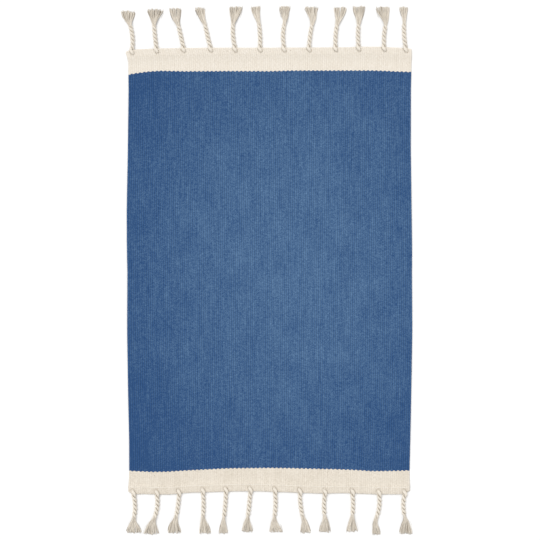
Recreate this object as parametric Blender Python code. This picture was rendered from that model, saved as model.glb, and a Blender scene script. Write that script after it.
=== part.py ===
"""Handwoven cotton rug with twisted tassels, lying flat.

The cloth is one weft-faced piece: a blue field, a natural band at each end, and each end turned under as a
hem. Every tassel is a bundle of cotton yarn that passes down through the hem, comes back underneath, is
twisted with itself into a two-ply cord and ends in a loose brush. +Z is up, +Y runs to the far end, and the
origin is the middle of the cloth's underside. Metres, with the tables in millimetres.
"""

import math
import random

import bmesh
import bpy
from mathutils import Vector

MM = 0.001

# Cloth
RIB_COUNT = 134  # one rib for each covered warp, about 6 mm apart
RIB_DEPTH = 1.0 * MM
FIELD_TOP = 5.0 * MM  # one layer, to the ribs' crests
HEM_TOP = 8.5 * MM  # two layers, pressed by the stitching
HEM_DEPTH = 19.0 * MM  # from the folded edge to the stitch line
HEM_STEP = 5.0 * MM  # the length over which the cloth climbs onto its hem

# Lines across the cloth that carry its outline. A line bows from its middle to its two ends, and a high
# power keeps the bow close to the ends.
# name, y in the middle, y at the left, y at the right, power of the bow, x at the left, x at the right (mm)
CROSS_LINES = (
    ("near fold", -618.6, -631.0, -628.0, 2, -397.0, 394.0),
    ("near colour change", -551.5, -561.0, -560.5, 2, -396.0, 394.0),
    ("middle", 0.0, 0.0, 0.0, 2, -402.0, 401.5),
    ("far colour change", 562.0, 551.0, 559.0, 12, -399.0, 399.5),
    ("far fold", 629.0, 615.0, 624.0, 16, -403.0, 398.5),
)
FLOOR_SPACING = 4  # half ribs for each vertex along the underside

# Tassels
LAY = 23.4 * MM  # length of one full turn of the two plies
TURN_STEP = math.radians(72)
CORD_RADIUS = 6.2 * MM
GROOVE_RADIUS = 3.3 * MM  # to the bottom of the groove between the plies
PLY_HALF_ANGLE = math.radians(35)  # of a ply's back, seen from the cord's axis
CORD_START = 5.0 * MM  # out from the folded edge
START_SCALE = 0.6
PLIES_MEET = 8.0 * MM
MEETING_ANGLE = math.radians(145)  # of the face ply about the cord's axis, where the plies meet
STRAND_COLUMNS = 6
STRAND_ROWS = 2
STRAND_SIZE = 2.6 * MM  # of a lock's end, both ways
HEAD_LENGTH = 7.0 * MM  # from the last turn to where the locks part
HEAD_WIDTH = 15.0 * MM
HEAD_HEIGHT = 7.0 * MM
HEAD_DROP = 0.8 * MM  # below the cord's axis
HEAD_ROUNDING = 0.3  # how much of its height it loses at its sides
LAYER_GAP = 0.5 * MM
LOCKS_UNEVEN = 3.0 * MM
BRUSH_ROUNDING = 5.0 * MM  # how much shorter the outer locks are
STAGGER = 0.3  # of a lock's pitch, between the two layers
SHARPEST_SMOOTH = math.radians(50)  # steeper edges than this stay crisp

# The yarn's way round the hem, seen with the tassel pointing away from the cloth: over the face, down
# through the hem, and back out underneath.
# out from the fold, to the right, height, width, thickness (mm)
LOOP_PATH = (
    (11.0, -2.6, 8.0, 6.2, 5.0),
    (3.5, -3.0, 10.8, 7.2, 4.4),
    (-3.5, -1.2, 11.0, 7.6, 4.4),
    (-11.6, 1.8, 11.0, 7.0, 4.4),
    (-14.6, 2.4, 8.6, 6.8, 4.2),
    (-14.8, 2.6, 5.0, 6.8, 4.0),
    (-11.5, 2.6, 1.9, 7.0, 3.6),
    (3.5, 2.9, 2.2, 7.0, 4.0),
    (11.0, 2.6, 4.6, 6.2, 5.0),
)
LOOP_SIDES = 6

# What the hem leaves free for that yarn: an opening down from its face, and a groove along its underside
OPENING_START = -17.0 * MM
OPENING_END = -10.9 * MM
GROOVE_HEIGHT = 4.2 * MM
ROOM_WIDTH = 7.9 * MM
ROOM_CENTRE = 2.65 * MM
OVERSHOOT = 5.0 * MM  # past the faces that the opening and the groove break through

# Each tassel as it lies. x values are across the rug, and those after the first are measured from the root.
# root x, x halfway along the cord, x at the last turn, left tip x, right tip x, cord length, whole length
FAR_TASSELS = (
    (-387.5, 1.4, -4.2, -32.3, 8.5, 66, 111),
    (-318.6, -4.2, -7.0, -26.7, 18.3, 65, 112),
    (-242.7, -7.0, -14.1, -40.8, -7.0, 62, 113),
    (-166.7, -8.4, -15.5, -45.0, -15.5, 64, 113),
    (-97.9, -5.6, -5.6, -17.4, 22.5, 65, 117),
    (-27.6, 0.0, -2.8, -25.3, 1.4, 66, 117),
    (39.9, -2.8, 0.8, -14.1, 16.9, 66, 117),
    (110.2, 2.8, 8.4, -12.7, 25.3, 63, 116),
    (184.7, 0.0, 4.2, -4.2, 32.3, 63, 114),
    (249.4, -1.4, 0.0, -15.5, 18.3, 63, 115),
    (321.1, 0.0, 3.7, -22.5, 16.9, 60, 115),
    (382.0, -4.2, -4.2, -16.9, 7.0, 67, 116),
)
NEAR_TASSELS = (
    (-383.3, 4.2, 1.4, -21.1, 22.5, 65, 110),
    (-317.2, 0.8, -6.5, -38.0, 5.6, 64, 113),
    (-255.3, -2.8, -8.4, -32.3, 5.6, 64, 112),
    (-187.8, 1.4, 0.0, -11.2, 22.5, 65, 117),
    (-123.2, -2.0, -5.6, -19.7, 5.6, 70, 119),
    (-54.3, -3.4, -7.0, -26.7, 7.0, 67, 115),
    (14.6, 1.4, -1.4, -16.9, 21.1, 67, 115),
    (84.9, 1.4, 7.0, 0.0, 30.9, 65, 114),
    (155.2, -2.8, -1.4, -16.9, 16.9, 60, 110),
    (232.6, 1.4, 0.0, -18.3, 16.9, 60, 108),
    (307.1, 0.8, -7.0, -21.1, 5.6, 64, 114),
    (379.0, -3.7, -0.8, -14.1, 22.5, 56, 112),
)

NATURAL, BLUE = 0, 1  # the cloth's material slots
COLOURS = {  # base colour, roughness
    "blue_weft": ((0.062, 0.137, 0.275), 0.95),
    "natural_weft": ((0.82, 0.75, 0.64), 0.95),
    "natural_yarn": ((0.78, 0.71, 0.60), 0.95),
}


def clear_scene():
    for old in list(bpy.data.objects):
        bpy.data.objects.remove(old)


def make_material(name):
    colour, roughness = COLOURS[name]
    material = bpy.data.materials.new(name)
    material.use_nodes = True
    material.diffuse_color = (*colour, 1.0)
    shader = material.node_tree.nodes["Principled BSDF"]
    shader.inputs["Base Color"].default_value = (*colour, 1.0)
    shader.inputs["Roughness"].default_value = roughness
    shader.inputs["Metallic"].default_value = 0.0
    return material


def cross_line(name):
    """The named line's middle, left and right y, power, left x and right x, with lengths in metres."""
    middle, left_y, right_y, power, left, right = next(row[1:] for row in CROSS_LINES if row[0] == name)
    return middle * MM, left_y * MM, right_y * MM, power, left * MM, right * MM


def line_y(line, x):
    """Where a cross line lies at x."""
    middle, left_y, right_y, power, left, right = line
    across = (2 * x - left - right) / (right - left)
    end = right_y if across > 0 else left_y
    return middle + (end - middle) * abs(across) ** power


def moved_in(line, distance):
    """The same line, moved that far towards the middle of the cloth."""
    middle, left_y, right_y, power, left, right = line
    inwards = -math.copysign(distance, middle)
    return middle + inwards, left_y + inwards, right_y + inwards, power, left, right


def cloth_stations():
    """Each cross line with the height of the ribs' crests there, from the near fold to the far one."""
    near, far = cross_line("near fold"), cross_line("far fold")
    hems = []
    for fold in (near, far):
        hems.append(
            [
                (fold, HEM_TOP),
                (moved_in(fold, HEM_DEPTH), HEM_TOP),
                (moved_in(fold, HEM_DEPTH + HEM_STEP), FIELD_TOP),
            ]
        )
    field = [(cross_line(row[0]), FIELD_TOP) for row in CROSS_LINES[1:-1]]
    return hems[0] + field + hems[1][::-1]


def zip_lines(bm, one, other):
    """Fills the strip between two lines of (place, vertex) pairs, both in rising order, with triangles."""
    a, b = 0, 0
    while a < len(one) - 1 or b < len(other) - 1:
        if b == len(other) - 1 or (a < len(one) - 1 and one[a + 1][0] <= other[b + 1][0]):
            bm.faces.new((one[a][1], one[a + 1][1], other[b][1]))
            a += 1
        else:
            bm.faces.new((one[a][1], other[b + 1][1], other[b][1]))
            b += 1


def by_x(vertices):
    return [(vertex.co.x, vertex) for vertex in vertices]


def build_cloth(blue, natural):
    """One closed solid: ribs across the top, a flat underside, and the hems as a raised double layer."""
    stations = cloth_stations()
    columns = 2 * RIB_COUNT
    bm = bmesh.new()
    top_rows = []
    for line, crest in stations:
        left, right = line[-2:]
        row = []
        for index in range(columns + 1):
            x = left + (right - left) * index / columns
            height = crest if index % 2 else crest - RIB_DEPTH
            row.append(bm.verts.new((x, line_y(line, x), height)))
        top_rows.append(row)

    lines = [line for line, _ in stations]
    first_blue = lines.index(cross_line("near colour change"))
    past_blue = lines.index(cross_line("far colour change"))
    for index, (here, there) in enumerate(zip(top_rows, top_rows[1:])):
        for k in range(columns):
            face = bm.faces.new((here[k], here[k + 1], there[k + 1], there[k]))
            face.material_index = BLUE if first_blue <= index < past_blue else NATURAL

    def floor_line(vertices):
        return [bm.verts.new((vertex.co.x, vertex.co.y, 0.0)) for vertex in vertices]

    near, far = top_rows[0], top_rows[-1]
    near_floor = floor_line(near[:-1:FLOOR_SPACING] + near[-1:])
    far_floor = floor_line(far[:-1:FLOOR_SPACING] + far[-1:])
    zip_lines(bm, by_x(near), by_x(near_floor))
    zip_lines(bm, by_x(far), by_x(far_floor))
    side_floors = []
    for side in (0, -1):
        top = [row[side] for row in top_rows]
        floor = [near_floor[side]] + floor_line(top[1:-1]) + [far_floor[side]]
        side_floors.append(floor)
        for k in range(len(top) - 1):
            face = bm.faces.new((top[k], top[k + 1], floor[k + 1], floor[k]))
            face.material_index = BLUE if first_blue <= k < past_blue else NATURAL

    # Underneath, each band and the field is a face of its own
    left_floor, right_floor = side_floors
    near_band = near_floor + right_floor[1:first_blue + 1] + left_floor[1:first_blue + 1][::-1]
    far_band = far_floor + right_floor[past_blue:-1][::-1] + left_floor[past_blue:-1]
    field = left_floor[first_blue:past_blue + 1] + right_floor[first_blue:past_blue + 1][::-1]
    for outline, material_index in ((near_band, NATURAL), (field, BLUE), (far_band, NATURAL)):
        bm.faces.new(outline).material_index = material_index
    bmesh.ops.recalc_face_normals(bm, faces=bm.faces)
    return add_object("woven_cloth", bm, (natural, blue))


def add_object(name, bm, materials, smooth_angle=None):
    mesh = bpy.data.meshes.new(name)
    bm.to_mesh(mesh)
    bm.free()
    for material in materials:
        mesh.materials.append(material)
    if smooth_angle:
        mesh.shade_smooth()
        mesh.set_sharp_from_angle(angle=smooth_angle)
    piece = bpy.data.objects.new(name, mesh)
    bpy.context.scene.collection.objects.link(piece)
    return piece


def place(piece, root_x, edge_y, at_far_end):
    """Sets a tassel piece, modelled pointing along +Y, at its root on either end of the cloth."""
    piece.location = (root_x, edge_y, 0.0)
    piece.rotation_euler = (0.0, 0.0, 0.0 if at_far_end else math.pi)


def add_tube(bm, rings):
    """A closed tube through rings of the same number of points, with flat ends."""
    rows = [[bm.verts.new(point) for point in ring] for ring in rings]
    sides = len(rows[0])
    for here, there in zip(rows, rows[1:]):
        for k in range(sides):
            bm.faces.new((here[k], here[(k + 1) % sides], there[(k + 1) % sides], there[k]))
    bm.faces.new(rows[0][::-1])
    bm.faces.new(rows[-1])
    bmesh.ops.recalc_face_normals(bm, faces=bm.faces)


def build_loop(name):
    """The yarn's way round the hem, as a flattened tube."""
    stations = [[value * MM for value in row] for row in LOOP_PATH]
    centres = [Vector((side, out, height)) for out, side, height, _, _ in stations]
    rings = []
    for k, (_, _, _, width, thickness) in enumerate(stations):
        ahead = centres[min(k + 1, len(centres) - 1)]
        behind = centres[max(k - 1, 0)]
        along = (ahead - behind).normalized()
        across = Vector((1.0, 0.0, 0.0))
        across = (across - along * across.dot(along)).normalized()
        upright = across.cross(along)
        ring = []
        for corner in range(LOOP_SIDES):
            angle = 2 * math.pi * corner / LOOP_SIDES
            offset = across * math.cos(angle) * width / 2
            offset += upright * math.sin(angle) * thickness / 2 / math.cos(math.pi / LOOP_SIDES)
            ring.append(centres[k] + offset)
        rings.append(ring)
    bm = bmesh.new()
    add_tube(bm, rings)
    return as_helper(add_object(name, bm, ()))


def build_room(name):
    """The opening and the groove for one tassel's yarn, as an L-shaped block."""
    profile = (
        (OPENING_START, HEM_TOP + OVERSHOOT),
        (OPENING_END, HEM_TOP + OVERSHOOT),
        (OPENING_END, GROOVE_HEIGHT),
        (OVERSHOOT, GROOVE_HEIGHT),
        (OVERSHOOT, -OVERSHOOT),
        (OPENING_START, -OVERSHOOT),
    )
    bm = bmesh.new()
    sides = []
    for x in (ROOM_CENTRE - ROOM_WIDTH / 2, ROOM_CENTRE + ROOM_WIDTH / 2):
        sides.append([(x, out, height) for out, height in profile])
    add_tube(bm, sides)
    return as_helper(add_object(name, bm, ()))


def as_helper(piece):
    piece.display_type = "WIRE"
    piece.hide_render = True
    return piece


def cord_section(angle, scale):
    """Six points of the two-ply section: two corners on each ply's back, and a groove on either side."""
    points = []
    for turn, radius in (
        (-PLY_HALF_ANGLE, CORD_RADIUS),
        (PLY_HALF_ANGLE, CORD_RADIUS),
        (math.pi / 2, GROOVE_RADIUS),
        (math.pi - PLY_HALF_ANGLE, CORD_RADIUS),
        (math.pi + PLY_HALF_ANGLE, CORD_RADIUS),
        (-math.pi / 2, GROOVE_RADIUS),
    ):
        points.append((radius * scale * math.cos(angle + turn), radius * scale * math.sin(angle + turn)))
    return points


def bend(out, length, middle_x, end_x):
    """The cord's sideways place: a parabola through its root, its middle and its last turn."""
    share = out / length
    return 4 * middle_x * share * (1 - share) + end_x * share * (2 * share - 1)


def by_angle(ring, centre):
    """A ring's vertices in order of their angle about the cord's axis, the first one repeated at the end."""

    def angle_of(vertex):
        return math.atan2(vertex.co.z - centre.z, vertex.co.x - centre.x) % (2 * math.pi)

    pairs = sorted(((angle_of(vertex), vertex) for vertex in ring), key=lambda pair: pair[0])
    return pairs + [(pairs[0][0] + 2 * math.pi, pairs[0][1])]


def add_brush(bm, last_ring, neck, tips, whole_length, dice):
    """The loose end: the yarn spreads into a flat head, which parts into two layers of tapered locks."""
    head_out = neck.y + HEAD_LENGTH
    lean = (sum(tips) / 2 - neck.x) / (whole_length - neck.y)
    head_centre = Vector((neck.x + lean * HEAD_LENGTH, head_out, CORD_RADIUS - HEAD_DROP))
    grid = []
    for row in range(STRAND_ROWS + 1):
        line = []
        for column in range(STRAND_COLUMNS + 1):
            across = 2 * column / STRAND_COLUMNS - 1
            up = 2 * row / STRAND_ROWS - 1
            height = head_centre.z + up * HEAD_HEIGHT / 2 * (1 - HEAD_ROUNDING * across * across)
            line.append(bm.verts.new((head_centre.x + across * HEAD_WIDTH / 2, head_out, height)))
        grid.append(line)
    rim = grid[0] + [line[-1] for line in grid[1:-1]] + grid[-1][::-1] + [line[0] for line in grid[1:-1]]
    zip_lines(bm, by_angle(last_ring, neck), by_angle(rim, head_centre))

    half = STRAND_SIZE / 2
    for row in range(STRAND_ROWS):
        for column in range(STRAND_COLUMNS):
            below, above = grid[row], grid[row + 1]
            root = (below[column], below[column + 1], above[column + 1], above[column])
            share = (column + 0.5 + (row - 0.5) * STAGGER) / STRAND_COLUMNS
            x = tips[0] + half + (tips[1] - tips[0] - STRAND_SIZE) * share
            out = whole_length - BRUSH_ROUNDING * (2 * share - 1) ** 2 - dice.uniform(0.0, LOCKS_UNEVEN)
            z = half + row * (STRAND_SIZE + LAYER_GAP)
            corners = ((x - half, z - half), (x + half, z - half), (x + half, z + half), (x - half, z + half))
            tip = [bm.verts.new((corner_x, out, corner_z)) for corner_x, corner_z in corners]
            for k in range(4):
                bm.faces.new((root[k], root[(k + 1) % 4], tip[(k + 1) % 4], tip[k]))
            bm.faces.new(tip)


def add_cord(bm, length, middle_x, end_x):
    """The twisted cord from the cloth's edge to its last turn. Returns its last ring and that ring's centre."""
    step = LAY * TURN_STEP / (2 * math.pi)
    count = round((length - PLIES_MEET) / step)
    places = [(CORD_START, START_SCALE)]
    places += [(PLIES_MEET + k * step, 1.0) for k in range(count + 1)]
    rows = []
    for out, scale in places:
        angle = MEETING_ANGLE + (out - PLIES_MEET) / LAY * 2 * math.pi
        x = bend(out, length, middle_x, end_x)
        lean = math.atan2(bend(out + step, length, middle_x, end_x) - x, step)
        ring = []
        for side, up in cord_section(angle, scale):
            ring.append(bm.verts.new((x + side * math.cos(lean), out - side * math.sin(lean), CORD_RADIUS + up)))
        rows.append(ring)
    for here, there in zip(rows, rows[1:]):
        for k in range(len(here)):
            after = (k + 1) % len(here)
            bm.faces.new((here[k], here[after], there[k]))  # the diagonal hugs the turning plies
            bm.faces.new((here[after], there[after], there[k]))
    bm.faces.new(rows[0])
    return rows[-1], Vector((x, out, CORD_RADIUS))


def build_tassel(name, row, at_far_end, yarn, dice):
    """One tassel, modelled pointing along +Y from the folded edge, and joined to its loop."""
    root_x, middle_x, end_x, left_tip, right_tip, cord_length, whole_length = (value * MM for value in row)
    hand = 1 if at_far_end else -1  # the table's x runs across the rug, and a near tassel is turned round
    bm = bmesh.new()
    last_ring, neck = add_cord(bm, cord_length, hand * middle_x, hand * end_x)
    add_brush(bm, last_ring, neck, sorted((hand * left_tip, hand * right_tip)), whole_length, dice)
    bmesh.ops.recalc_face_normals(bm, faces=bm.faces)
    tassel = add_object(name, bm, (yarn,), smooth_angle=SHARPEST_SMOOTH)

    edge_y = line_y(cross_line("far fold" if at_far_end else "near fold"), root_x)
    loop = build_loop(name + "_loop")
    room = build_room(name + "_room")
    for piece in (tassel, loop, room):
        place(piece, root_x, edge_y, at_far_end)
    join = tassel.modifiers.new("loop", "BOOLEAN")
    join.operation = "UNION"
    join.solver = "EXACT"
    join.object = loop
    return room


def build_rug():
    clear_scene()
    materials = {name: make_material(name) for name in COLOURS}
    cloth = build_cloth(materials["blue_weft"], materials["natural_weft"])
    rooms = bpy.data.collections.new("room for the tassels")
    bpy.context.scene.collection.children.link(rooms)
    dice = random.Random(12)
    for end, table in (("far", FAR_TASSELS), ("near", NEAR_TASSELS)):
        for number, row in enumerate(table, start=1):
            name = f"tassel_{end}_{number:02d}"
            room = build_tassel(name, row, end == "far", materials["natural_yarn"], dice)
            bpy.context.scene.collection.objects.unlink(room)
            rooms.objects.link(room)
    cut = cloth.modifiers.new("room for the tassels", "BOOLEAN")
    cut.operation = "DIFFERENCE"
    cut.solver = "EXACT"
    cut.operand_type = "COLLECTION"
    cut.collection = rooms


build_rug()
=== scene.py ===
import math
import random

import bpy
import numpy as np
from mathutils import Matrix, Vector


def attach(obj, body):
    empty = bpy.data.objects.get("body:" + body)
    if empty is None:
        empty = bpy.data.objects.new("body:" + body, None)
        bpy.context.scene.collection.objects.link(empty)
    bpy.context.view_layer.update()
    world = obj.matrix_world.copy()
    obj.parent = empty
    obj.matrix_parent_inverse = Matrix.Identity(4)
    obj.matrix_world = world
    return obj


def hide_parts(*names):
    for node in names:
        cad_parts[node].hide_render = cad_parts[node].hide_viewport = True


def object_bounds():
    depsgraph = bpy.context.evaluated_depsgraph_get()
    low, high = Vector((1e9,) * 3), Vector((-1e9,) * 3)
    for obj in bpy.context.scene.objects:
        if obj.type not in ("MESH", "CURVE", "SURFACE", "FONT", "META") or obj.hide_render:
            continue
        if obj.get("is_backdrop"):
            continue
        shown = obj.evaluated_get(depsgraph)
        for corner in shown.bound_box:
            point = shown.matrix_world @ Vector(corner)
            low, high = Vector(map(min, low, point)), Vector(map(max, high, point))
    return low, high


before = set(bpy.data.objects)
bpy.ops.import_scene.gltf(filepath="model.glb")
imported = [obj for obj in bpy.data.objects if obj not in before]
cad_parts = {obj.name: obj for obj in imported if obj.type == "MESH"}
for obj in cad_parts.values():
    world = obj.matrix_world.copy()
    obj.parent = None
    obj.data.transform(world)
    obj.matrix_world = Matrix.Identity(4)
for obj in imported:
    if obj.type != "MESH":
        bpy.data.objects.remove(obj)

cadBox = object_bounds()
mm = 0.001

# Small helpers for meshes and materials


def tidyMesh(name, points, faces, uvs, tones, material):
    mesh = bpy.data.meshes.new(name)
    mesh.from_pydata(points.tolist(), [], faces)
    layer = mesh.uv_layers.new(name="weave")
    layer.data.foreach_set("uv", np.asarray(uvs, np.float32).ravel())
    tone = mesh.attributes.new("tone", "FLOAT", "POINT")
    tone.data.foreach_set("value", np.asarray(tones, np.float32))
    mesh.materials.append(material)
    mesh.shade_smooth()
    piece = bpy.data.objects.new(name, mesh)
    bpy.context.scene.collection.objects.link(piece)
    return piece


def addNode(tree, kind, inputs=None, **settings):
    node = tree.nodes.new(kind)
    for key, value in settings.items():
        setattr(node, key, value)
    for key, value in (inputs or {}).items():
        if isinstance(value, bpy.types.NodeSocket):
            tree.links.new(value, node.inputs[key])
        else:
            node.inputs[key].default_value = value
    return node


def calc(tree, operation, a, b=0.0, c=0.0):
    return addNode(tree, "ShaderNodeMath", {0: a, 1: b, 2: c}, operation=operation).outputs[0]


def vectorCalc(tree, operation, a, b, output=0):
    return addNode(tree, "ShaderNodeVectorMath", {0: a, 1: b}, operation=operation).outputs[output]


def blend(tree, share, first, second, how="MIX"):
    node = addNode(tree, "ShaderNodeMix", data_type="RGBA", blend_type=how)
    for socket, value in ((node.inputs[0], share), (node.inputs[6], first), (node.inputs[7], second)):
        if isinstance(value, bpy.types.NodeSocket):
            tree.links.new(value, socket)
        else:
            socket.default_value = value
    return node.outputs[2]


def remap(tree, value, fromLow, fromHigh, toLow, toHigh):
    inputs = {"Value": value, "From Min": fromLow, "From Max": fromHigh, "To Min": toLow, "To Max": toHigh}
    return addNode(tree, "ShaderNodeMapRange", inputs).outputs["Result"]


def softPattern(tree, place, scale, detail, roughness):
    inputs = {"Vector": place, "Scale": scale, "Detail": detail, "Roughness": roughness}
    return addNode(tree, "ShaderNodeTexNoise", inputs).outputs["Fac"]


def chance(tree, first, second):
    # one random share for each pair of whole numbers
    pair = addNode(tree, "ShaderNodeCombineXYZ", {0: first, 1: second}).outputs[0]
    return addNode(tree, "ShaderNodeTexWhiteNoise", {"Vector": pair}).outputs["Value"]


def vary(tree, pattern, amount, base):
    # base, raised and lowered by a pattern that runs from 0 to 1
    return calc(tree, "MULTIPLY_ADD", calc(tree, "SUBTRACT", pattern, 0.5), amount, base)


def rounded(tree, value, power):
    # 1 in the middle of each whole step of value, falling to 0 at both its ends
    fromMiddle = calc(tree, "ABSOLUTE", calc(tree, "MULTIPLY_ADD", calc(tree, "FRACT", value), 2.0, -1.0))
    return calc(tree, "SUBTRACT", 1.0, calc(tree, "POWER", fromMiddle, power))


def addBump(tree, shader, height, strength, distance):
    bump = addNode(tree, "ShaderNodeBump", {"Height": height, "Strength": strength, "Distance": distance})
    tree.links.new(bump.outputs[0], shader.inputs["Normal"])


def newMaterial(name, roughness, sheen):
    material = bpy.data.materials.new(name)
    material.use_nodes = True
    tree = material.node_tree
    shader = tree.nodes["Principled BSDF"]
    shader.inputs["Roughness"].default_value = roughness
    shader.inputs["Specular IOR Level"].default_value = 0.2
    shader.inputs["Sheen Weight"].default_value = sheen
    shader.inputs["Sheen Roughness"].default_value = 0.55
    return material, tree, shader


# Cloth finish: a weft-faced plain weave. The map's U counts ribs and its V counts weft passes.

clothFinish = {
    "blueDeep": (0.021, 0.072, 0.196, 1.0),
    "blue": (0.0635, 0.137, 0.271, 1.0),
    "blueLight": (0.118, 0.221, 0.378, 1.0),
    "naturalDeep": (0.580, 0.518, 0.430, 1.0),
    "natural": (0.708, 0.647, 0.560, 1.0),
    "naturalLight": (0.772, 0.720, 0.645, 1.0),
    "fleck": (0.300, 0.230, 0.150, 1.0),
    "bumpHeight": 0.9 * mm,
    "brightPlace": (0.06, 0.05, 0.0),  # where the painted pool of light on the field is brightest, in metres
    "fading": (1.9, 1.35, 0.0),  # how fast it darkens away from there, across and along
    "paintedLightShare": 0.42,  # how strongly the painted light falls off
    "streaks": 0.9,  # how much each pattern changes the colour
    "stitches": 0.2,
    "clouds": 0.45,
    "lumps": 0.5,
    "fibres": 0.5,
    "bandVariety": 0.7,  # the bands' share of these changes
    "bandPaintedLight": (0.21, 0.01),  # painted light: the bands are painted lighter towards the far end: for each metre along, and everywhere
    "fleckScale": 34.0,
    "fleckSize": 0.045,
    "fleckRarity": 0.9,
    "fleckStrength": 0.7,
    "bandHollowShade": 0.96,  # how light the painted shade leaves the hollows between stitches
    "fieldHollowShade": 0.57,
}


def clothMaterial(fieldStart, fieldEnd):
    finish = clothFinish
    material, tree, shader = newMaterial("ribbedCotton", 0.92, 0.06)
    weave = addNode(tree, "ShaderNodeUVMap", uv_map="weave").outputs[0]
    split = addNode(tree, "ShaderNodeSeparateXYZ", {0: weave})
    rib, weft = split.outputs[0], split.outputs[1]
    place = addNode(tree, "ShaderNodeTexCoord").outputs["Object"]

    # which stitch this is, and how far across and along it
    ribIndex = calc(tree, "FLOOR", rib)
    parity = calc(tree, "FLOORED_MODULO", ribIndex, 2.0)
    stitchPlace = calc(tree, "MULTIPLY", calc(tree, "ADD", weft, parity), 0.5)
    stitchIndex = calc(tree, "FLOOR", stitchPlace)
    ribRound = rounded(tree, rib, 2.4)
    stitchRound = rounded(tree, stitchPlace, 2.6)
    passMiddle = calc(tree, "SUBTRACT", calc(tree, "MULTIPLY_ADD", stitchIndex, 2.0, 1.0), parity)
    pastNear = calc(tree, "GREATER_THAN", passMiddle, fieldStart - 0.5)
    beforeFar = calc(tree, "LESS_THAN", passMiddle, fieldEnd + 0.5)
    inField = calc(tree, "MULTIPLY", pastNear, beforeFar)

    # colour: streaks along the ribs, each stitch a little different, wide soft clouds, lumps and fibres
    stitchChance = chance(tree, ribIndex, stitchIndex)
    halfRib = calc(tree, "FLOOR", calc(tree, "MULTIPLY", rib, 2.0))
    lump = chance(tree, halfRib, calc(tree, "FLOOR", weft))
    streak = softPattern(tree, vectorCalc(tree, "MULTIPLY", weave, (0.9, 0.02, 1.0)), 1.0, 3.0, 0.7)
    cloud = softPattern(tree, place, 11.0, 4.0, 0.5)
    fibre = softPattern(tree, place, 900.0, 2.0, 0.6)
    shade = vary(tree, streak, finish["streaks"], 0.5)
    shade = vary(tree, stitchChance, finish["stitches"], shade)
    shade = vary(tree, cloud, finish["clouds"], shade)
    shade = vary(tree, lump, finish["lumps"], shade)
    shade = vary(tree, fibre, finish["fibres"], shade)
    # painted light: a wide pool of light painted into the blue, darkening away from the bright place
    fromBright = vectorCalc(tree, "SUBTRACT", place, finish["brightPlace"])
    fromBright = vectorCalc(tree, "MULTIPLY", fromBright, finish["fading"])
    spread = vectorCalc(tree, "DOT_PRODUCT", fromBright, fromBright, "Value")
    paintedLightFalloff = calc(tree, "MULTIPLY", spread, -finish["paintedLightShare"])
    blueRamp = addNode(tree, "ShaderNodeValToRGB", {0: calc(tree, "ADD", shade, paintedLightFalloff)})
    # painted light: the bands grow lighter towards the far end
    along = addNode(tree, "ShaderNodeSeparateXYZ", {0: place}).outputs[1]
    paintedLightAlong = calc(tree, "MULTIPLY_ADD", along, *finish["bandPaintedLight"])
    calm = vary(tree, shade, finish["bandVariety"], 0.5)
    naturalRamp = addNode(tree, "ShaderNodeValToRGB", {0: calc(tree, "ADD", calm, paintedLightAlong)})
    for ramp, names in (
        (blueRamp, ("blueDeep", "blue", "blueLight")),
        (naturalRamp, ("naturalDeep", "natural", "naturalLight")),
    ):
        stops = ramp.color_ramp.elements
        stops.new(0.5)
        for stop, where, name in zip(stops, (0.0, 0.5, 1.0), names):
            stop.position = where
            stop.color = finish[name]

    # a few flecks of seed in the undyed cotton
    seedInputs = {"Vector": place, "Scale": finish["fleckScale"], "Randomness": 1.0}
    seeds = addNode(tree, "ShaderNodeTexVoronoi", seedInputs)
    seedChance = addNode(tree, "ShaderNodeSeparateColor", {0: seeds.outputs["Color"]}).outputs[0]
    rare = calc(tree, "GREATER_THAN", seedChance, finish["fleckRarity"])
    close = calc(tree, "LESS_THAN", seeds.outputs["Distance"], finish["fleckSize"])
    fleck = calc(tree, "MULTIPLY", close, rare)
    fleckShare = calc(tree, "MULTIPLY", fleck, finish["fleckStrength"])
    natural = blend(tree, fleckShare, naturalRamp.outputs[0], finish["fleck"])
    colour = blend(tree, inField, natural, blueRamp.outputs[0])

    # painted shade: the hollows between ribs and between stitches are darkened in the colour
    hollow = calc(tree, "POWER", ribRound, 0.6)
    hollow = calc(tree, "MULTIPLY", hollow, calc(tree, "POWER", stitchRound, 0.35))
    lowest = remap(tree, inField, 0.0, 1.0, finish["bandHollowShade"], finish["fieldHollowShade"])
    depth = calc(tree, "MULTIPLY_ADD", hollow, calc(tree, "SUBTRACT", 1.05, lowest), lowest)
    # painted shade: the tone attribute darkens the cloth beside the yarns on the hem
    tone = addNode(tree, "ShaderNodeAttribute", attribute_name="tone").outputs["Fac"]
    depth = calc(tree, "MULTIPLY", depth, tone)
    paintedShadeTint = addNode(tree, "ShaderNodeCombineXYZ", {0: depth, 1: depth, 2: depth}).outputs[0]
    tree.links.new(blend(tree, 1.0, colour, paintedShadeTint, "MULTIPLY"), shader.inputs["Base Color"])

    height = calc(tree, "MULTIPLY", stitchRound, calc(tree, "MULTIPLY_ADD", ribRound, 0.6, 0.4))
    height = calc(tree, "MULTIPLY_ADD", fibre, 0.22, height)
    addBump(tree, shader, height, 0.75, finish["bumpHeight"])
    tree.links.new(remap(tree, fibre, 0.2, 0.8, 0.84, 1.0), shader.inputs["Roughness"])
    return material


# Cloth: a sheet with ribs on both faces, turned under at each end

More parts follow.
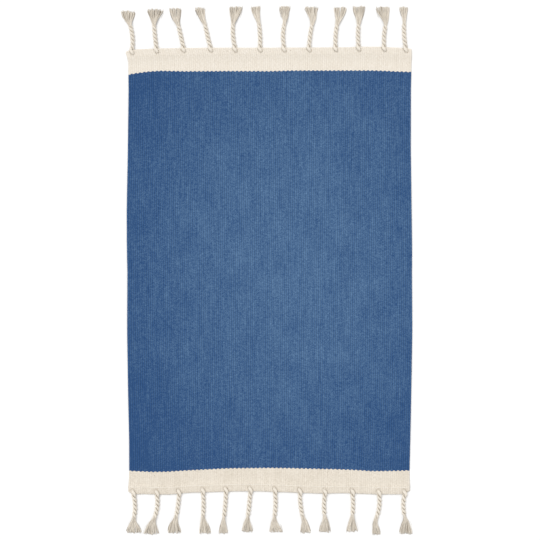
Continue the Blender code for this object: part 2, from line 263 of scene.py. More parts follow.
cloth = {
    "ribs": 134,
    "faceSteps": 6,  # mesh columns for each rib on the face
    "backSteps": 2,
    "crest": 2.15 * mm,  # half the cloth's thickness on a rib
    "valley": 1.25 * mm,  # and between two ribs
    "passPitch": 1.75 * mm,  # from one weft pass to the next
    "bandPasses": 38,
    "fieldPasses": 638,
    "bandLength": 67.0,  # from the fold to the change of colour, in millimetres
    "meanLeft": -0.3985,  # the cloth's mean left side and width, in metres
    "meanWidth": 0.7975,
    "hemDepth": 20.0 * mm,
    "hemRise": 4.1 * mm,
    "turnSteps": 6,
    "fieldRows": 26,
    "ripple": 0.9 * mm,
    "wander": 0.5 * mm,  # how far the ribs stray sideways
    "overFloor": 0.05 * mm,
    "rootHalf": 4.7 * mm,  # from the middle of a yarn on the hem to the groove beside it
    "rootGroove": 1.1 * mm,
    "rootDepth": 1.2 * mm,
    "rootEdge": 0.5 * mm,
    "rootSink": 0.8 * mm,
    "rootReach": (0.02, 0.035),
    "rootShade": 0.13,
}

# where the cloth's lines lie, in millimetres: x across the rug, y along it
nearFold = (
    (-397, -619.5), (-393, -625.8), (-384, -628.4), (-356, -627.4), (-315, -628.8), (-281, -629.0),
    (-236, -624.6), (-210, -623.1), (-179, -622.8), (-134, -621.0), (-89, -620.0), (-33, -619.8),
    (23, -621.6), (90, -624.2), (141, -626.0), (180, -625.8), (212, -624.9), (248, -626.2),
    (315, -628.8), (350, -628.4), (380, -628.2), (388, -627.2), (392, -623.8), (395, -618.0),
)
nearChange = (
    (-396, -561.4), (-365, -563.0), (-330, -564.4), (-290, -563.8), (-241, -560.6), (-179, -557.4),
    (-117, -554.2), (6, -553.0), (68, -554.0), (130, -555.6), (192, -556.8), (254, -559.4), (290, -562.2),
    (335, -561.8), (394, -560.2),
)
farChange = (
    (-399, 551.4), (-376, 555.4), (-345, 559.6), (-309, 562.1), (-241, 560.6), (-117, 561.3), (0, 560.9),
    (62, 562.7), (290, 562.9), (330, 561.6), (352, 560.2), (389, 559.2), (400, 558.2),
)
farFold = (
    (-404, 611.6), (-399, 615.6), (-392, 620.4), (-379, 623.0), (-337, 625.2), (-281, 626.8),
    (-179, 628.2), (0, 628.3), (135, 629.0), (214, 629.4), (259, 631.2),
    (304, 631.0), (349, 628.9), (385, 627.6), (398, 624.6),
)
leftSide = (
    (-630, -395.5), (-619, -397.8), (-606, -398.0), (-590, -396.4), (-560, -395.4), (-475, -395.6),
    (-335, -398.8), (-165, -401.4), (0, -400.6), (60, -402.2), (170, -402.6), (340, -399.4),
    (508, -397.2), (560, -397.8), (590, -398.4), (603, -401.4), (611, -404.6), (628, -404.6),
)
rightSide = (
    (-630, 392.4), (-610, 393.8), (-560, 393.0), (-475, 395.2), (-335, 398.0), (-165, 400.9), (0, 399.8),
    (60, 400.4), (170, 398.8), (340, 396.6), (508, 396.8), (560, 398.0), (600, 398.8), (628, 398.4),
)


def smoothTable(table, places, soften=25):
    # the table's line at the given places, softened over a few of them
    known = np.array(table) * mm
    values = np.interp(places, known[:, 0], known[:, 1])
    weights = np.hanning(soften + 2)[1:-1]
    padded = np.pad(values, soften // 2, mode="edge")
    return np.convolve(padded, weights / weights.sum(), mode="valid")


def softNoise(x, y, seed):
    # long waves in chance directions, added up to between -1 and 1
    dice = random.Random(seed)
    waves = 9
    total = np.zeros(np.broadcast(x, y).shape)
    for _ in range(waves):
        length = dice.uniform(0.12, 0.55)
        turn = dice.uniform(0, 2 * math.pi)
        phase = dice.uniform(0, 2 * math.pi)
        total = total + np.sin(2 * math.pi * (x * math.cos(turn) + y * math.sin(turn)) / length + phase)
    return total / waves


def hemRows(settings):
    # the turned-under end from the side: out from the fold, height, normal out and up, way along the cloth
    low = settings["crest"]
    high = low + settings["hemRise"]
    turn = settings["hemRise"] / 2
    depth = settings["hemDepth"]
    rows = []
    for place in (1.0, 0.8, 0.55, 0.3):  # underneath, from the cut end towards the fold
        rows.append((-depth * place, low, 0.0, -1.0, -depth * place))
    for step in range(settings["turnSteps"] + 1):
        angle = -math.pi / 2 + math.pi * step / settings["turnSteps"]
        out = -(low + turn) + turn * math.cos(angle)
        height = low + turn + turn * math.sin(angle)
        rows.append((out, height, math.cos(angle), math.sin(angle), turn * angle))
    return rows, high


def clothRows(settings):
    # each row: first line, second line, share between them, shift outwards, height, normal out, normal up, V
    low = settings["crest"]
    underRows, high = hemRows(settings)
    bandPasses, fieldPasses = settings["bandPasses"], settings["fieldPasses"]
    pitch = settings["passPitch"]
    # how far in from the fold each row lies, and how far below the hem's top: flat, then down off the hem
    flat = tuple(5.5 + 1.45 * step for step in range(8))
    descent = {"near": flat + (17.0, 18.4, 19.6, 20.8, 22.0, 24.0, 27.0, 31.0, 36.0),
               "far": flat + (17.0, 19.0, 21.0, 23.5, 26.5, 30.0, 34.0, 39.0, 45.0)}
    heights = {"near": (0.0,) * 8 + (-0.05, -0.2, -0.45, -0.5, -0.8, -1.6, -2.6, -3.5, -4.1),
               "far": (0.0,) * 8 + (-0.05, -0.2, -0.5, -1.0, -1.7, -2.5, -3.2, -3.8, -4.1)}
    ends = {}
    for end in ("near", "far"):
        rows = [(0.0, *row[:4], row[4] / pitch) for row in underRows]
        for inwards, drop in zip(descent[end], heights[end]):
            share = inwards / settings["bandLength"]
            rows.append((share, 0.0, high + drop * mm, 0.0, 1.0, share * bandPasses))
        for share in (0.72, 0.86):  # on the flat band
            rows.append((share, 0.0, low, 0.0, 1.0, share * bandPasses))
        ends[end] = rows
    table = []
    for share, shift, z, normalOut, normalUp, v in ends["near"]:
        table.append(("near", share, -shift, z, -normalOut, normalUp, v))
    for step in range(settings["fieldRows"] + 1):
        share = step / settings["fieldRows"]
        table.append(("field", share, 0.0, low, 0.0, 1.0, bandPasses + share * fieldPasses))
    last = 2 * bandPasses + fieldPasses
    for share, shift, z, normalOut, normalUp, v in reversed(ends["far"]):
        table.append(("far", share, shift, z, normalOut, normalUp, last - v))
    return table, bandPasses, bandPasses + fieldPasses


def pressRoots(settings, x, y, roots):
    # how far the cloth sinks beside and under the yarns that lie on the hem, and how much shade they leave
    sink = np.zeros_like(x)
    tone = np.ones_like(x)
    reachX, reachY = settings["rootReach"]
    for root in roots:
        close = (np.abs(x - root[0, 0]) < reachX) & (np.abs(y - root[0, 1]) < reachY)
        if not close.any():
            continue
        px, py = x[close], y[close]
        away = np.full(px.shape, 1.0)
        for a, b in zip(root[:-1], root[1:]):
            step = b - a
            share = np.clip(((px - a[0]) * step[0] + (py - a[1]) * step[1]) / (step @ step), 0.0, 1.0)
            away = np.minimum(away, np.hypot(px - a[0] - share * step[0], py - a[1] - share * step[1]))
        beside = np.exp(-((away - settings["rootHalf"]) / settings["rootGroove"]) ** 2)
        under = 1.0 / (1.0 + np.exp((away - settings["rootHalf"]) / settings["rootEdge"]))
        sink[close] += settings["rootDepth"] * beside + settings["rootSink"] * under
        # painted shade: the cloth's tone is darkened in the groove beside each yarn
        tone[close] *= 1.0 - settings["rootShade"] * beside
    return sink, tone


def clothSkin(settings, rows, steps, side, roots):
    # one face of the cloth; side is 1 for the face and -1 for the back
    columns = settings["ribs"] * steps
    share = np.linspace(0.0, 1.0, columns + 1)
    level = settings["meanLeft"] + share * settings["meanWidth"]
    nearEdge, nearLine, farLine, farEdge = (
        smoothTable(table, level) for table in (nearFold, nearChange, farChange, farFold)
    )
    between = {"near": (nearEdge, nearLine), "field": (nearLine, farLine), "far": (farEdge, farLine)}
    ribPlace = (share * settings["ribs"]) % 1.0
    roundness = np.abs(np.sin(math.pi * ribPlace)) ** 0.75
    roundness[np.isclose(ribPlace, 0.0) | np.isclose(ribPlace, 1.0)] = 0.0
    half = settings["valley"] + (settings["crest"] - settings["valley"]) * roundness
    points, tones = [], []
    for part, mixShare, shift, z, normalOut, normalUp, _ in rows:
        first, second = between[part]
        y = first + (second - first) * mixShare + shift
        left = np.interp(y[0], *(np.array(leftSide) * mm).T)
        right = np.interp(y[-1], *(np.array(rightSide) * mm).T)
        x = left + (right - left) * share
        x = x + settings["wander"] * np.sin(share * math.pi) * softNoise(x, y * 0.6, 3)
        height = np.full(columns + 1, z)
        if part == "field":
            height = height + np.clip(settings["ripple"] * (0.5 + softNoise(x, y, 8)), 0.0, None)
        y = y + half * side * normalOut
        height = height + half * side * normalUp
        height = np.maximum(height, settings["overFloor"])
        tone = np.ones_like(x)
        if side > 0 and normalUp > 0.3 and z > settings["crest"] + 0.5 * mm:
            sink, tone = pressRoots(settings, x, y, roots)
            height = height - sink * normalUp
        points.append(np.stack((x, y, height), axis=1))
        tones.append(tone)
    return np.array(points), np.array(tones)


def gridFaces(rowCount, columnCount, start, flip):
    faces = []
    for r in range(rowCount - 1):
        for c in range(columnCount - 1):
            a = start + r * columnCount + c
            quad = (a, a + 1, a + columnCount + 1, a + columnCount)
            faces.append(quad[::-1] if flip else quad)
    return faces


def buildCloth(settings, roots):
    rows, nearV, farV = clothRows(settings)
    face, faceTones = clothSkin(settings, rows, settings["faceSteps"], 1, roots)
    back, backTones = clothSkin(settings, rows, settings["backSteps"], -1, roots)
    rowCount, faceColumns, backColumns = len(rows), face.shape[1], back.shape[1]
    backStart = rowCount * faceColumns
    faces = gridFaces(rowCount, faceColumns, 0, False) + gridFaces(rowCount, backColumns, backStart, True)
    ratio = settings["faceSteps"] // settings["backSteps"]
    for r in range(rowCount - 1):  # the selvedges
        a, b = r * faceColumns, backStart + r * backColumns
        faces.append((a, a + faceColumns, b + backColumns, b))
        a, b = a + faceColumns - 1, b + backColumns - 1
        faces.append((b, b + backColumns, a + faceColumns, a))
    for r, flip in ((0, False), (rowCount - 1, True)):  # the ends, hidden underneath
        for c in range(backColumns - 1):
            b = backStart + r * backColumns + c
            a = r * faceColumns + c * ratio
            ring = (b, b + 1) + tuple(a + k for k in range(ratio, -1, -1))
            faces.append(ring[::-1] if flip else ring)
    points = np.concatenate((face.reshape(-1, 3), back.reshape(-1, 3)))
    v = np.array([row[-1] for row in rows])
    weave = []
    for columns in (faceColumns, backColumns):
        u = np.linspace(0.0, settings["ribs"], columns)
        weave.append(np.stack(np.broadcast_arrays(u[None, :], v[:, None]), axis=2).reshape(-1, 2))
    weave = np.concatenate(weave)
    loops = np.concatenate([np.array(f) for f in faces])
    tones = np.concatenate((faceTones.ravel(), backTones.ravel()))
    return tidyMesh("rugCloth", points, faces, weave[loops], tones, clothMaterial(nearV, farV))


# Tassels. Every x after the first is measured from the root, and all lengths are in millimetres.

tassel = {
    "lay": 23.4,
    "axisHeight": 6.2,
    "plyPlace": 3.2,  # from the cord's axis to a ply's middle
    "plyWidth": 6.3,
    "farGroove": 0.66,  # how light the painted shade leaves the yarn deep between the two plies, at each end
    "nearGroove": 0.40,
    "pliesMeet": 3.0,  # out from the fold
    "plyEnd": 3.0,  # how far the plies run on into the brush, and over what length they thin out
    "plyFade": 7.0,
    "meetingAngle": math.radians(145),
    "ringStep": 1.3,
    "plySides": 22,
    "yarnsInPly": 9,
    "yarnRelief": 0.055,
    "yarnTwist": 17.0,  # length of one turn of a ply's own twist
    "locks": 8,
    "strandsInLock": 9,
    "underStrands": 34,
    "underHeight": (0.75, 1.7),
    "underShade": (0.46, 0.66),
    "underShorter": (1.0, 6.0),
    "lockTone": (0.80, 1.05),
    "lockLength": (-3.4, 0.9),  # against the brush's whole length
    "lockHalf": (0.18, 0.36),  # half a lock's width, as a share of its pitch
    "neckLength": 6.0,  # how far inside the cord the strands begin
    "neckRadius": 2.4,
    "bellMost": 0.65,  # how early the brush may open, from 0 to 1
    "tipRounding": 2.5,
    "sway": (0.5, 1.1),
    "swayWaves": (0.8, 1.3),
    "strandStep": 4.0,
    "strandWidth": 1.3,
    "strandSides": 5,
    "strays": 12,
    "strayWidth": 0.38,
}

# root x, x halfway along the cord, x at the last turn, left tip x, right tip x, cord length, whole length
farTassels = (
    (-387.5, 1.4, -4.2, -32.3, 8.5, 66, 111),
    (-318.6, -4.2, -7.0, -26.7, 18.3, 65, 112),
    (-242.7, -7.0, -14.1, -40.8, -7.0, 62, 113),
    (-166.7, -8.4, -15.5, -45.0, -15.5, 64, 113),
    (-97.9, -5.6, -5.6, -17.4, 22.5, 65, 117),
    (-27.6, 0.0, -2.8, -25.3, 1.4, 66, 117),
    (39.9, -2.8, 0.8, -14.1, 16.9, 66, 117),
    (110.2, 2.8, 8.4, -12.7, 25.3, 63, 116),
    (184.7, 0.0, 4.2, -4.2, 32.3, 63, 114),
    (249.4, -1.4, 0.0, -15.5, 18.3, 63, 115),
    (321.1, 0.0, 3.7, -22.5, 16.9, 60, 115),
    (382.0, -4.2, -4.2, -16.9, 7.0, 67, 116),
)
nearTassels = (
    (-383.3, 4.2, 1.4, -21.1, 22.5, 65, 110),
    (-317.2, 0.8, -6.5, -38.0, 5.6, 64, 113),
    (-255.3, -2.8, -8.4, -32.3, 5.6, 64, 112),
    (-187.8, 1.4, 0.0, -11.2, 22.5, 65, 117),
    (-123.2, -2.0, -5.6, -19.7, 5.6, 70, 119),
    (-54.3, -3.4, -7.0, -26.7, 7.0, 67, 115),
    (14.6, 1.4, -1.4, -16.9, 21.1, 67, 115),
    (84.9, 1.4, 7.0, 0.0, 30.9, 65, 114),
    (155.2, -2.8, -1.4, -16.9, 16.9, 60, 110),
    (232.6, 1.4, 0.0, -18.3, 16.9, 60, 108),
    (307.1, 0.8, -7.0, -18.6, 5.0, 64, 114),
    (379.0, -3.7, -0.8, -14.1, 22.5, 56, 112),
)

# the yarn's way round the hem: out from the fold, to the right, height, width, thickness
hemLoop = (
    (-0.4, -3.3, 10.0, 7.6, 5.6),
    (-4.2, -1.5, 11.0, 8.8, 5.4),
    (-8.4, 1.3, 10.5, 8.6, 5.2),
    (-11.4, 2.6, 8.0, 7.4, 4.8),
    (-12.0, 2.7, 4.6, 6.6, 4.4),
    (-9.5, 2.7, 2.1, 7.0, 3.8),
    (-3.0, 2.8, 2.0, 7.0, 3.8),
    (0.2, 2.9, 2.9, 6.8, 4.6),
)

yarnFinish = {
    "colour": (0.800, 0.738, 0.645, 1.0),
    "deep": (0.330, 0.275, 0.205, 1.0),
    "bumpHeight": 0.35 * mm,
}
threadFinish = {
    "colour": (0.920, 0.885, 0.815, 1.0),
    "deep": (0.560, 0.500, 0.420, 1.0),
    "bumpHeight": 0.2 * mm,
}


def yarnMaterial(name, finish):
    material, tree, shader = newMaterial(name, 0.9, 0.1)
    weave = addNode(tree, "ShaderNodeUVMap", uv_map="weave").outputs[0]
    split = addNode(tree, "ShaderNodeSeparateXYZ", {0: weave})
    place = addNode(tree, "ShaderNodeTexCoord").outputs["Object"]
    roundness = rounded(tree, calc(tree, "ADD", split.outputs[0], split.outputs[1]), 2.2)
    fibre = softPattern(tree, vectorCalc(tree, "MULTIPLY", weave, (6.0, 1.2, 1.0)), 1.0, 3.0, 0.7)
    patch = softPattern(tree, place, 90.0, 3.0, 0.6)
    tone = addNode(tree, "ShaderNodeAttribute", attribute_name="tone").outputs["Fac"]
    # painted shade: darker in the hollows between the twisted yarns, times the tone attribute, which holds
    # painted shade and each lock's chance tone; fibres and patches vary it at random
    light = calc(tree, "MULTIPLY", tone, remap(tree, roundness, 0.0, 1.0, 0.72, 1.03))
    light = vary(tree, fibre, 0.3, light)
    light = vary(tree, patch, 0.22, light)
    share = remap(tree, light, 0.35, 1.0, 0.0, 1.0)
    tree.links.new(blend(tree, share, finish["deep"], finish["colour"]), shader.inputs["Base Color"])
    addBump(tree, shader, calc(tree, "MULTIPLY_ADD", fibre, 0.5, roundness), 0.8, finish["bumpHeight"])
    tree.links.new(remap(tree, patch, 0.2, 0.8, 0.82, 0.98), shader.inputs["Roughness"])
    return material


def newBundle():
    return {"points": [], "faces": [], "uvs": [], "tones": [], "count": 0}


def addTube(
    bundle, path, widths, thicknesses, sides, lines, linePitch, tone, lobes=0, relief=0.0, lobeTurn=1.0
):
    # a tube along path, with its ends closed; lines run round it, once in linePitch
    path = np.asarray(path, float)
    along = np.gradient(path, axis=0)
    along /= np.linalg.norm(along, axis=1)[:, None]
    across = np.array((1.0, 0.0, 0.0)) - along * along[:, :1]
    across /= np.linalg.norm(across, axis=1)[:, None]
    upright = np.cross(along, across)
    run = np.concatenate(((0.0,), np.cumsum(np.linalg.norm(np.diff(path, axis=0), axis=1))))
    angle = 2 * math.pi * np.arange(sides) / sides
    swell = 1.0 + relief * np.cos(lobes * (angle[None, :] + 2 * math.pi * run[:, None] / lobeTurn))
    each = np.ones(len(path))
    aside = (np.asarray(widths) / 2 * each)[:, None] * swell * np.cos(angle)[None, :]
    above = (np.asarray(thicknesses) / 2 * each)[:, None] * swell * np.sin(angle)[None, :]
    ring = path[:, None, :] + across[:, None, :] * aside[:, :, None] + upright[:, None, :] * above[:, :, None]
    ring = ring.reshape(-1, 3)
    first = bundle["count"]
    for i in range(len(path) - 1):
        for k in range(sides):
            after = (k + 1) % sides
            a, b = first + i * sides, first + (i + 1) * sides
            bundle["faces"].append((a + k, a + after, b + after, b + k))
            low, high = run[i] / linePitch, run[i + 1] / linePitch
            u, uNext = lines * k / sides, lines * (k + 1) / sides
            bundle["uvs"] += [(u, low), (uNext, low), (uNext, high), (u, high)]
    last = first + (len(path) - 1) * sides
    startCap = tuple(first + k for k in range(sides))[::-1]
    endCap = tuple(last + k for k in range(sides))
    for cap, v in ((startCap, 0.0), (endCap, run[-1])):
        bundle["faces"].append(cap)
        bundle["uvs"] += [(0.5, v / linePitch)] * sides
    bundle["points"].append(ring)
    bundle["tones"].append(tone(ring) if callable(tone) else np.repeat(np.asarray(tone) * each, sides))
    bundle["count"] += len(path) * sides


def smoothPath(points, step):
    # a curve through all the columns of a few points, with rows about a step apart
    points = np.asarray(points, float)
    padded = np.concatenate((points[:1], points, points[-1:]))
    out = []
    for i in range(1, len(padded) - 2):
        a, b, c, d = padded[i - 1:i + 3]
        count = max(1, round(np.linalg.norm(c[:3] - b[:3]) / step))
        for t in np.arange(count) / count:
            out.append(0.5 * (2 * b + (c - a) * t + (2 * a - 5 * b + 4 * c - d) * t ** 2
                              + (3 * b - a - 3 * c + d) * t ** 3))
    out.append(points[-1])
    return np.array(out)


def cordAxis(out, length, middleX, endX):
    share = out / length
    return 4 * middleX * share * (1 - share) + endX * share * (2 * share - 1)


def plyPoint(settings, out, which, length, middleX, endX, spread=1.0):
    angle = settings["meetingAngle"] + 2 * math.pi * (out - settings["pliesMeet"]) / settings["lay"]
    angle += math.pi * which
    x = cordAxis(out, length, middleX, endX)
    slope = cordAxis(out + 1, length, middleX, endX) - x
    lean = math.atan(slope)
    side = settings["plyPlace"] * spread * math.cos(angle)
    up = settings["plyPlace"] * spread * math.sin(angle)
    return x + side * math.cos(lean), out - side * math.sin(lean), settings["axisHeight"] + up


def plyPath(settings, which, length, middleX, endX):
    end = length + settings["plyEnd"]
    places = np.arange(settings["pliesMeet"], end, settings["ringStep"])
    rows = []
    for out in places:
        fade = np.clip((end - out) / settings["plyFade"], 0.25, 1.0) ** 0.5
        width = settings["plyWidth"] * fade
        rows.append((*plyPoint(settings, out, which, length, middleX, endX), width, width))
    return np.array(rows)


def plyPaintedShade(settings, groovePaintedShade, length, middleX, endX):
    # painted shade: darker deep between the plies and where the yarn goes into the cloth
    def tone(points):
        x, y, z = points.T
        fromAxis = np.hypot(x - cordAxis(y, length, middleX, endX), z - settings["axisHeight"])
        outside = np.clip((fromAxis - 2.2) / 2.6, 0.0, 1.0)
        groove = groovePaintedShade + (1.0 - groovePaintedShade) * outside ** 0.8
        onCord = np.clip((y - settings["pliesMeet"] + 4.0) / 4.0, 0.0, 1.0)
        atHole = np.clip((-y - 10.5) / 4.0, 0.0, 1.0)
        return 1.02 * (1 + onCord * (groove - 1)) * (1 - 0.2 * atHole)
    return tone


def brushEnds(settings, dice):
    # each strand's tip: share across, height, tone (painted shade for the strands underneath, a chance tone
    # for each lock), how much longer than the rest, sway phase
    fullTurn = 6.28
    ends = []
    # painted shade: the strands underneath the brush are darker
    for _ in range(settings["underStrands"]):
        ends.append((
            dice.random(), dice.uniform(*settings["underHeight"]), dice.uniform(*settings["underShade"]),
            -dice.uniform(*settings["underShorter"]), dice.uniform(0, fullTurn),
        ))
    for lock in range(settings["locks"]):
        middle = (lock + 0.5 + dice.uniform(-0.22, 0.22)) / settings["locks"]
        half = dice.uniform(*settings["lockHalf"]) / settings["locks"]
        lockTone, lockLength = dice.uniform(*settings["lockTone"]), dice.uniform(*settings["lockLength"])
        phase = dice.uniform(0, fullTurn)
        for _ in range(settings["strandsInLock"]):
            aside = dice.uniform(-1.0, 1.0)
            height = 2.0 + 3.2 * dice.random() * (1 - aside ** 2)
            ends.append((
                middle + half * aside, height, lockTone + dice.uniform(-0.08, 0.05),
                lockLength - abs(dice.gauss(0, 0.9)), phase + dice.uniform(-0.4, 0.4),
            ))
    return sorted(ends)


def addStrands(bundle, settings, length, whole, middleX, endX, tips, dice):
    ends = brushEnds(settings, dice)
    starts = []
    for j in range(len(ends)):
        radius = settings["neckRadius"] * math.sqrt(dice.random())
        turn = dice.uniform(0, 2 * math.pi)
        starts.append((j % 2, radius * math.cos(turn), radius * math.sin(turn)))

    def neckX(start):
        return plyPoint(settings, length, start[0], length, middleX, endX)[0] + start[1] + dice.gauss(0, 1.2)

    starts.sort(key=neckX)
    bell = [dice.uniform(0.0, settings["bellMost"]) for side in (0, 1)]  # how early each side opens
    neckLength = settings["neckLength"]
    turnX = cordAxis(length, length, middleX, endX)
    slope = (turnX - cordAxis(length - neckLength, length, middleX, endX)) / neckLength
    for (which, aside, up), (share, tipHeight, lockTone, extra, phase) in zip(starts, ends):
        width = settings["strandWidth"] * dice.uniform(0.85, 1.15)
        tipX = tips[0] + width / 2 + (tips[1] - tips[0] - width) * min(max(share, 0.0), 1.0)
        tipOut = whole - settings["tipRounding"] * abs(2 * share - 1) ** 3 + extra
        start = length - neckLength
        path = []
        for out in (start, start + 3.5, start + 7.0):
            x, y, z = plyPoint(settings, out, which, length, middleX, endX, 1.0 - 0.15 * (out - start) / 7.0)
            path.append((x + aside, y, z + up))
        neck = np.array(path[-1])
        waves, sway = dice.uniform(*settings["swayWaves"]), dice.uniform(*settings["sway"])
        for t in (0.1, 0.2, 0.3, 0.4, 0.5, 0.62, 0.74, 0.86, 1.0):
            early = min(1.0, t / 0.84)
            early = early * early * (3 - 2 * early)
            sideBell = bell[0] + (bell[1] - bell[0]) * share
            flare = sideBell * early + (1 - sideBell) * t ** 1.12
            straight = neck[0] + slope * (tipOut - neck[1]) * min(t, 0.4)
            x = straight + (tipX - straight) * flare + sway * t * math.sin(phase + waves * 2 * math.pi * t)
            drop = min(1.0, 1.25 * t)
            z = neck[2] + (tipHeight - neck[2]) * (3 * drop ** 2 - 2 * drop ** 3)
            path.append((x, neck[1] + (tipOut - neck[1]) * t, max(z, width / 2 + 0.05)))
        path = smoothPath(path, settings["strandStep"])
        opened = np.clip((path[:, 1] - length + 2) / 16.0, 0.0, 1.0)
        tone = 0.95 + (lockTone - 0.95) * opened
        addTube(bundle, path, width, width, settings["strandSides"], 2, 3.2, np.clip(tone, 0.4, 1.05))
    for _ in range(settings["strays"]):
        side = dice.choice((-1, 1)) * math.sqrt(dice.random())
        middle, half = (tips[0] + tips[1]) / 2, (tips[1] - tips[0]) / 2
        first = length + (whole - length) * dice.uniform(0.35, 0.7)
        last = whole + dice.uniform(-2.0, 3.5)
        away = middle + half * side
        low = dice.uniform(0.6, 3.0)
        path = (
            (middle + half * side * 0.75, first, low + 1.0),
            (away, (first + last) / 2, low + 0.7),
            (away + side * dice.uniform(-1.0, 3.0), last, low * 0.5 + 0.2),
        )
        width = settings["strayWidth"]
        addTube(bundle, smoothPath(path, 3.0), width, width, 3, 1, 3.0, 0.92)


def rootLine(row, atFarEnd, edgeY):
    # where the yarn lies on the hem, seen from above
    hand = 1 if atFarEnd else -1
    return np.array([
        (row[0] * mm + hand * side * mm, edgeY + hand * out * mm) for out, side, *_ in hemLoop[:4]
    ])


def buildTassel(name, row, atFarEnd, edgeY, material, settings, dice):
    rootX, middleX, endX, leftTip, rightTip, length, whole = row
    hand = 1 if atFarEnd else -1  # a near tassel is turned round, so its table is read the other way
    middleX, endX = hand * middleX, hand * endX
    tips = sorted((hand * leftTip, hand * rightTip))
    groovePaintedShade = settings["farGroove"] if atFarEnd else settings["nearGroove"]
    bundle = newBundle()
    over = plyPath(settings, 0, length, middleX, endX)[::-1]
    under = plyPath(settings, 1, length, middleX, endX)
    loop = [(side, out, height, width, thick) for out, side, height, width, thick in hemLoop]
    bend = smoothPath(np.concatenate((over[-2:], loop, under[:2])), settings["ringStep"])
    route = np.concatenate((over[:-2], bend, under[2:]))
    addTube(
        bundle, route[:, :3], route[:, 3], route[:, 4], settings["plySides"], settings["yarnsInPly"],
        -settings["yarnTwist"] / settings["yarnsInPly"], plyPaintedShade(settings, groovePaintedShade, length, middleX, endX),
        settings["yarnsInPly"], settings["yarnRelief"], settings["yarnTwist"],
    )
    addStrands(bundle, settings, length, whole, middleX, endX, tips, dice)
    points = np.concatenate(bundle["points"])
    points[:, :2] *= hand
    points[:, 2] = np.maximum(points[:, 2], 0.02)
    points = points * mm + np.array((rootX * mm, edgeY, 0.0))
    return tidyMesh(name, points, bundle["faces"], bundle["uvs"], np.concatenate(bundle["tones"]), material)


# Hem stitching: a line of running stitches on the face, in millimetres

stitching = {
    "fromX": -392.0,
    "toX": 388.0,
    "length": 5.2,
    "gap": 0.6,
    "width": 2.2,
    "thickness": 1.0,
    "uneven": 0.5,
    "sink": 1.3,  # how far a stitch's ends go down into the cloth
    "inFromFold": 20.2,
    "nearHeight": 8.3,
    "farHeight": 7.3,
    "tone": 1.05,
}


def buildStitching(name, foldTable, inwards, height, material, settings, dice):
    # a tube is made to run along y, so the stitches are made with x and y changed over, and turned at the end
    bundle = newBundle()
    x = settings["fromX"]
    while x < settings["toX"]:
        start, end = x, x + settings["length"] + dice.uniform(-settings["uneven"], settings["uneven"])
        path = []
        for t in (0.0, 0.12, 0.35, 0.65, 0.88, 1.0):
            place = start + (end - start) * t
            y = float(np.interp(place, *zip(*foldTable))) + inwards * settings["inFromFold"]
            sink = settings["sink"] * (abs(2 * t - 1) ** 4)
            path.append((y + dice.uniform(-0.1, 0.1), place, height - sink))
        addTube(bundle, path, settings["thickness"], settings["width"], 6, 2, 2.4, settings["tone"])
        x = end + settings["gap"]
    points = np.concatenate(bundle["points"])[:, (1, 0, 2)] * mm
    faces = [face[::-1] for face in bundle["faces"]]
    uvs = []
    at = 0
    for face in bundle["faces"]:
        uvs += bundle["uvs"][at:at + len(face)][::-1]
        at += len(face)
    return tidyMesh(name, points, faces, uvs, np.concatenate(bundle["tones"]), material)


# Room: pale floor, soft light and the camera straight above

room = {
    "cameraHeight": 4.0,
    "photoScale": 2.812 * mm,  # metres for one pixel of the photograph
    "photoWidth": 540,
    "middleColumn": 269.8,  # the photograph's column and row at the rug's origin
    "middleRow": 271.0,
    "floorColour": (0.86, 0.86, 0.86, 1.0),
    "skyStrength": 0.76,
    "sunStrength": 1.75,
    "sunWidth": math.radians(40),
    "sunPlace": (-0.8, 1.4, 3.6),
    "floorHalf": 60.0,
    "floorDrop": 0.2 * mm,
    "rugLevel": 5 * mm,
    "farthestView": 200.0,
}


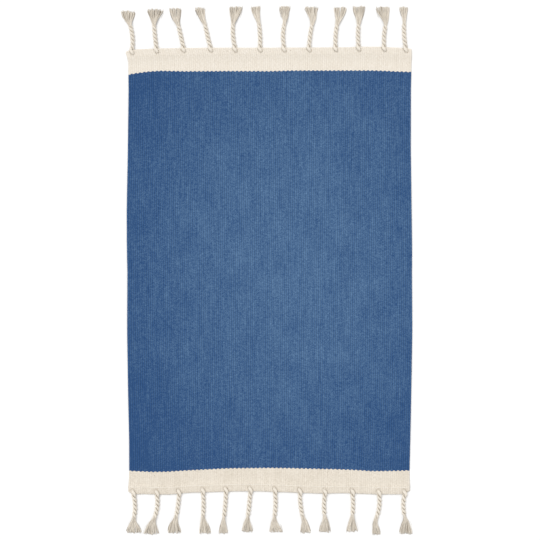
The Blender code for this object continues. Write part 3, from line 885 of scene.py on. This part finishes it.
def buildRoom(settings):
    scene = bpy.context.scene
    scene.view_settings.view_transform = "Standard"
    mesh = bpy.data.meshes.new("floor")
    half = settings["floorHalf"]
    corners = [(-half, -half, 0), (half, -half, 0), (half, half, 0), (-half, half, 0)]
    mesh.from_pydata(corners, [], [(0, 1, 2, 3)])
    material, _, shader = newMaterial("paleFloor", 0.9, 0.0)
    shader.inputs["Base Color"].default_value = settings["floorColour"]
    mesh.materials.append(material)
    floor = bpy.data.objects.new("floor", mesh)
    floor.location.z = -settings["floorDrop"]
    scene.collection.objects.link(floor)
    floor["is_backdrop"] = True

    world = bpy.data.worlds.new("softRoom")
    world.use_nodes = True
    sky = world.node_tree.nodes["Background"]
    sky.inputs["Color"].default_value = (1.0, 1.0, 1.0, 1.0)
    sky.inputs["Strength"].default_value = settings["skyStrength"]
    scene.world = world

    lamp = bpy.data.lights.new("wideWindow", "SUN")
    lamp.angle = settings["sunWidth"]
    lamp.energy = settings["sunStrength"]
    key = bpy.data.objects.new("wideWindow", lamp)
    key.location = settings["sunPlace"]
    key.rotation_euler = (-key.location).to_track_quat("-Z", "Y").to_euler()
    scene.collection.objects.link(key)

    camera = bpy.data.cameras.new("fromAbove")
    view = bpy.data.objects.new("fromAbove", camera)
    middle = settings["photoWidth"] / 2
    view.location = (
        (middle - settings["middleColumn"]) * settings["photoScale"],
        (settings["middleRow"] - middle) * settings["photoScale"],
        settings["cameraHeight"],
    )
    wide = settings["photoWidth"] * settings["photoScale"]
    camera.lens = camera.sensor_width * (settings["cameraHeight"] - settings["rugLevel"]) / wide
    camera.clip_end = settings["farthestView"]
    scene.collection.objects.link(view)
    scene.camera = view


def edgeAt(table, x):
    return float(np.interp(x, *zip(*table))) * mm


yarn = yarnMaterial("undyedCottonYarn", yarnFinish)
thread = yarnMaterial("sewingThread", threadFinish)
roots = [rootLine(row, True, edgeAt(farFold, row[0])) for row in farTassels]
roots += [rootLine(row, False, edgeAt(nearFold, row[0])) for row in nearTassels]
rug = buildCloth(cloth, roots)
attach(rug, "root")
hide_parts("woven_cloth")
print("cloth made:", len(rug.data.polygons), "faces")

dice = random.Random(41)
tassels = []
for end, table, fold in (("far", farTassels, farFold), ("near", nearTassels, nearFold)):
    for number, row in enumerate(table, start=1):
        name = f"{end}Tassel{number:02d}"
        piece = buildTassel(name, row, end == "far", edgeAt(fold, row[0]), yarn, tassel, dice)
        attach(piece, "root")
        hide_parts(f"tassel_{end}_{number:02d}")
        tassels.append(piece)
print("tassels made:", len(tassels), "with", sum(len(piece.data.polygons) for piece in tassels), "faces")

stitches = [
    buildStitching("nearHemStitches", nearFold, 1, stitching["nearHeight"], thread, stitching, dice),
    buildStitching("farHemStitches", farFold, -1, stitching["farHeight"], yarn, stitching, dice),
]
for piece in stitches:
    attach(piece, "root")
print("hem stitching made")

buildRoom(room)
print("room made")

boxes = {"cad": cadBox, "visual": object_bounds()}
{key: [list(corner) for corner in box] for key, box in boxes.items()}
